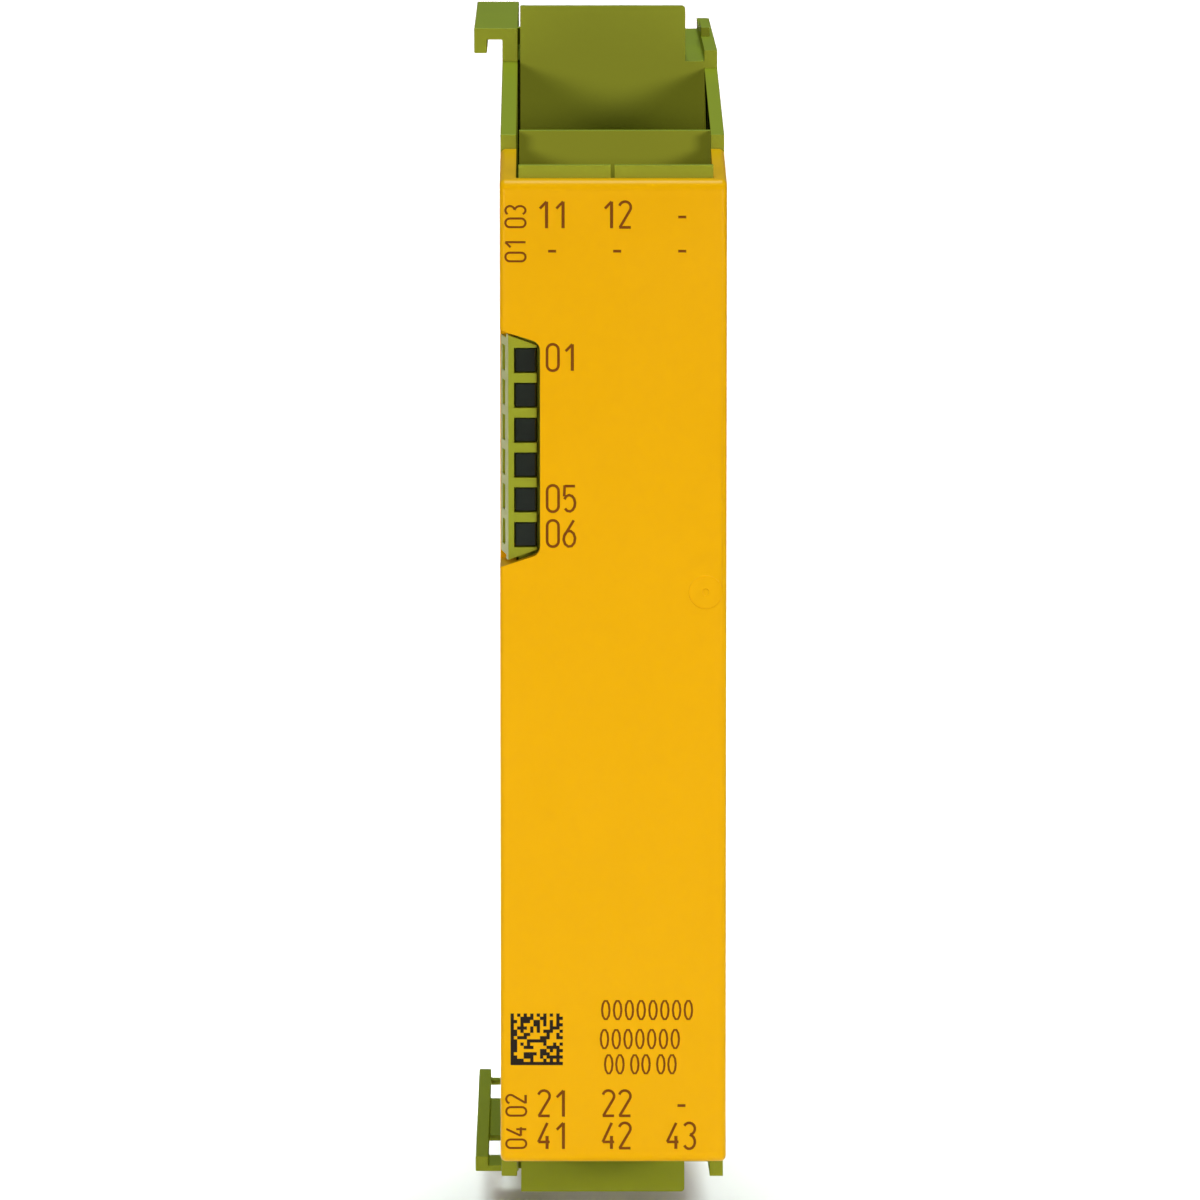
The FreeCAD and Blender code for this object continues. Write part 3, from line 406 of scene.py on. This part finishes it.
def cell_tree(material):
    """Square of cells: two full sides, two dashed ones, the rest random from a fixed seed."""
    tree, entry, leave = new_tree("code_cells", [
        ("Side", "Float"), ("Cells", "Int"), ("Ink", "Float"), ("Seed", "Int"),
        ("Place", "Vector")])
    join = tree.links.new

    def maths(operation, first, second):
        """Output of a math node that takes two sockets or numbers."""
        node = tree.nodes.new("ShaderNodeMath")
        node.operation = operation
        for socket, value in zip(node.inputs, (first, second)):
            if hasattr(value, "is_output"):
                join(value, socket)
            else:
                socket.default_value = value
        return node.outputs[0]

    points = tree.nodes.new("GeometryNodeMeshGrid")
    step = maths("DIVIDE", entry.outputs["Side"], entry.outputs["Cells"])
    reach = maths("SUBTRACT", entry.outputs["Side"], step)
    for size in ("Size X", "Size Y"):
        join(reach, points.inputs[size])
    for count in ("Vertices X", "Vertices Y"):
        join(entry.outputs["Cells"], points.inputs[count])
    number = tree.nodes.new("GeometryNodeInputIndex")
    column = maths("FLOOR", maths("DIVIDE", number.outputs[0], entry.outputs["Cells"]), 0)
    row = maths("MODULO", number.outputs[0], entry.outputs["Cells"])
    last = maths("SUBTRACT", entry.outputs["Cells"], 1)
    chance = tree.nodes.new("FunctionNodeRandomValue")
    chance.data_type = "BOOLEAN"
    chance.inputs["Probability"].default_value = 0.5
    join(entry.outputs["Seed"], chance.inputs["Seed"])
    inner = maths("MULTIPLY", maths("LESS_THAN", column, last), maths("LESS_THAN", row, last))
    full = maths("ADD", maths("LESS_THAN", column, 0.5), maths("LESS_THAN", row, 0.5))
    steps = maths("MODULO", maths("ADD", column, row), 2)
    chosen = maths("ADD", maths("MULTIPLY", chance.outputs[3], inner), maths("ADD", full, maths(
        "MULTIPLY", steps, maths("SUBTRACT", 1, inner))))
    cell = tree.nodes.new("GeometryNodeMeshCube")
    size = tree.nodes.new("ShaderNodeCombineXYZ")
    join(step, size.inputs["X"])
    join(step, size.inputs["Y"])
    join(entry.outputs["Ink"], size.inputs["Z"])
    join(size.outputs[0], cell.inputs["Size"])
    spread = tree.nodes.new("GeometryNodeInstanceOnPoints")
    join(points.outputs["Mesh"], spread.inputs["Points"])
    join(cell.outputs["Mesh"], spread.inputs["Instance"])
    join(chosen, spread.inputs["Selection"])
    stand = tree.nodes.new("GeometryNodeTransform")
    stand.inputs["Rotation"].default_value = (pi / 2, 0, 0)
    join(spread.outputs["Instances"], stand.inputs["Geometry"])
    join(entry.outputs["Place"], stand.inputs["Translation"])
    close_tree(tree, stand.outputs["Geometry"], leave, material)
    return tree


black_ink = plastic("black_ink", CELL_COLOUR, INK_ROUGHNESS, spread=0.15, patch=400,
                    grain_height=0.002, shine=INK_SHINE)
code_place = Vector((
    (CODE_LEFT + CODE_SIDE / 2) * MM,
    cap_low.y,
    cap_high.z - (CODE_DROP + CODE_SIDE / 2) * MM,
))
code_square = node_mesh("code_square", bpy.data.meshes.new("code_start"), cell_tree(black_ink), {
    "Side": CODE_SIDE * MM,
    "Cells": CODE_CELLS,
    "Ink": INK_HEIGHT * 2,
    "Seed": CODE_SEED,
    "Place": code_place,
})
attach(code_square, "module")


# Status lenses and diodes
# The lenses are one moulding of smoked clear plastic, with six polished faces in front and six
# small ones at the side. The diodes behind them are small white packages on the main board.

LENS_COLOUR = (0.014, 0.017, 0.012)
LENS_EDGE = 0.12 * MM

smoked_plastic = plastic("smoked_plastic", LENS_COLOUR, roughness=0.12, spread=0.3, patch=900,
                         grain=2500, grain_height=0.004, coat=0.6)
soften(finish_node("status_lenses", smoked_plastic), LENS_EDGE)
diode_package = plastic("diode_package", (0.72, 0.72, 0.66), roughness=0.4, spread=0.03)
finish_node("status_leds", diode_package)


# Circuit boards
# The main board and the link board at the rear are glass-fibre laminate under a green solder mask.

board_mask = plastic("board_mask", (0.012, 0.1, 0.035), roughness=0.3, spread=0.12, patch=500,
                     grain=2600, grain_height=0.01)
for name in ("main_board", "link_board"):
    finish_node(name, board_mask)


# Plug sockets
# Each has a dark moulded base with three contact pins of tinned brass.

SOCKETS = 4
HEADER_EDGE = 0.1 * MM
PIN_EDGE = 0.12 * MM


def metal(name, colour, roughness, streak=0.1, scale=900.0):
    """Bare or plated metal with fine uneven wear."""
    material = plastic(name, colour, roughness, spread=streak, patch=scale, grain=3000,
                       grain_height=0.003)
    material.node_tree.nodes["Principled BSDF"].inputs["Metallic"].default_value = 1.0
    return material


header_plastic = plastic("header_plastic", (0.03, 0.033, 0.024), roughness=0.45, spread=0.1)
tinned_brass = metal("tinned_brass", (0.66, 0.64, 0.58), roughness=0.3)
for number in range(1, SOCKETS + 1):
    soften(finish_node(f"socket_header_{number}", header_plastic), HEADER_EDGE)
    soften(finish_node(f"header_pins_{number}", tinned_brass), PIN_EDGE)


# Link connectors
# Two small sockets at the rear, with two rows of five gold-plated pins each, take the plugs that
# carry signals to the neighbouring modules.

gold_contact = metal("gold_contact", (0.83, 0.6, 0.24), roughness=0.25)
for name in ("link_header_left", "link_header_right"):
    soften(finish_node(name, header_plastic), HEADER_EDGE)
finish_node("link_pins", gold_contact)


# Parts on the main board
# Sealed relays, circuits and power supply parts, which the closed housing hides.

relay_case = plastic("relay_case", (0.045, 0.047, 0.05), roughness=0.5, spread=0.1)
chip_case = plastic("chip_case", (0.02, 0.02, 0.022), roughness=0.6, spread=0.12)
drawn_can = metal("drawn_can", (0.62, 0.62, 0.64), roughness=0.35)
ferrite = plastic("ferrite", (0.055, 0.055, 0.06), roughness=0.75, spread=0.2, patch=300)
blue_disc = plastic("blue_disc", (0.05, 0.16, 0.42), roughness=0.35, spread=0.06)
white_ceramic = plastic("white_ceramic", (0.72, 0.71, 0.66), roughness=0.5, spread=0.04)
for name, material in (
    ("relay_1", relay_case),
    ("relay_2", relay_case),
    ("controller_1", chip_case),
    ("controller_2", chip_case),
    ("optocouplers", chip_case),
    ("capacitor_1", drawn_can),
    ("capacitor_2", drawn_can),
    ("converter_inductor", ferrite),
    ("surge_suppressors", blue_disc),
    ("supply_fuse", white_ceramic),
):
    finish_node(name, material)


# Rail latch and spring
# The latch is a black moulding that slides in the rear of the housing. Its spring is bright wire.

LATCH_EDGE = 0.15 * MM

latch_plastic = plastic("latch_plastic", (0.022, 0.023, 0.022), roughness=0.4, spread=0.15)
soften(finish_node("rail_latch", latch_plastic), LATCH_EDGE)
spring_wire = metal("spring_wire", (0.6, 0.6, 0.62), roughness=0.25)
finish_node("latch_spring", spring_wire)


# Camera, floor and lights
# A long lens stands 0.8 m in front of the face and a little above it. The light on the module is
# soft, from both sides and from above. A strip light of its own keeps the floor pale behind the
# module, and the floor lies low enough for the latch's travel.

FACE = cap_low.y
EYE = Vector((-0.0048, FACE - 0.8018, 0.0964))
AIM = Vector((-0.00103, FACE, 0.00575))
VIEW_WIDTH = 0.0926
SENSOR = 36.0
NEAR_CLIP = 0.05
FAR_CLIP = 50.0
FLOOR_COLOUR = (0.69, 0.63, 0.65)
FLOOR_HALF = 6.0
LATCH_ROOM = 0.0034
MIDDLE = (0, FACE / 2, 0)
WHITE = (1, 1, 1)
COOL = (0.7, 0.98, 0.89)
LOW_ASIDE = 0.26
LOW_AHEAD = -0.62
LOW_HEIGHT = 0.1
LOW_SIZE = (0.2, 0.09)
LEFT_POWER = 0.117
RIGHT_POWER = 0.13
TOP_PLACE = (0.0, 0.1, 1.2)
TOP_SIZE = (0.6, 0.6)
TOP_POWER = 1.5
MODULE_SPREAD = 60
STRIP_BEHIND = 1.11
STRIP_HEIGHT = 0.14
STRIP_SIZE = (1.0, 2.3)
STRIP_POWER = 15
STRIP_SPREAD = 70
ROOM_STRENGTH = 0.1

camera_data = bpy.data.cameras.new("camera")
camera_data.sensor_width = SENSOR
camera_data.lens = SENSOR * (AIM - EYE).length / VIEW_WIDTH
camera_data.clip_start = NEAR_CLIP
camera_data.clip_end = FAR_CLIP
camera = add_object("camera", camera_data)
camera.location = EYE
camera.rotation_euler = (AIM - EYE).to_track_quat("-Z", "Y").to_euler()
bpy.context.scene.camera = camera

floor_mesh = bpy.data.meshes.new("floor")
ground = cad_box[0].z - LATCH_ROOM
corners = [
    (x * FLOOR_HALF, y * FLOOR_HALF, ground)
    for x, y in ((-1, -1), (1, -1), (1, 1), (-1, 1))
]
floor_mesh.from_pydata(corners, [], [(0, 1, 2, 3)])
floor = add_object("floor", floor_mesh)
floor_mesh.materials.append(plastic("pale_floor", FLOOR_COLOUR, roughness=0.8, spread=0.01, patch=4,
                                    grain=600, grain_height=0.01))


def soft_light(name, place, target, size, power, spread, colour):
    """Rectangular softbox that points at its target."""
    light = bpy.data.lights.new(name, "AREA")
    light.shape = "RECTANGLE"
    light.size, light.size_y = size
    light.energy = power
    light.spread = radians(spread)
    light.color = colour
    lamp = add_object(name, light)
    lamp.location = place
    lamp.rotation_euler = (Vector(target) - Vector(place)).to_track_quat("-Z", "Y").to_euler()
    lamp.visible_camera = False
    return lamp


for name, side, power in (("left_light", -1, LEFT_POWER), ("right_light", 1, RIGHT_POWER)):
    soft_light(name, (side * LOW_ASIDE, LOW_AHEAD, LOW_HEIGHT), MIDDLE, LOW_SIZE, power,
               MODULE_SPREAD, WHITE)
soft_light("top_light", TOP_PLACE, MIDDLE, TOP_SIZE, TOP_POWER, MODULE_SPREAD, COOL)
strip = soft_light("floor_light", (0, STRIP_BEHIND, STRIP_HEIGHT), (0, STRIP_BEHIND, 0),
                   STRIP_SIZE, STRIP_POWER, STRIP_SPREAD, WHITE)
lit_by_strip = bpy.data.collections.new("lit_by_strip")
lit_by_strip.objects.link(floor)
strip.light_linking.receiver_collection = lit_by_strip
world = bpy.data.worlds.new("studio")
world.use_nodes = True
background = world.node_tree.nodes["Background"]
background.inputs["Color"].default_value = (*WHITE, 1)
background.inputs["Strength"].default_value = ROOM_STRENGTH
bpy.context.scene.world = world
bpy.context.scene.view_settings.view_transform = "Standard"
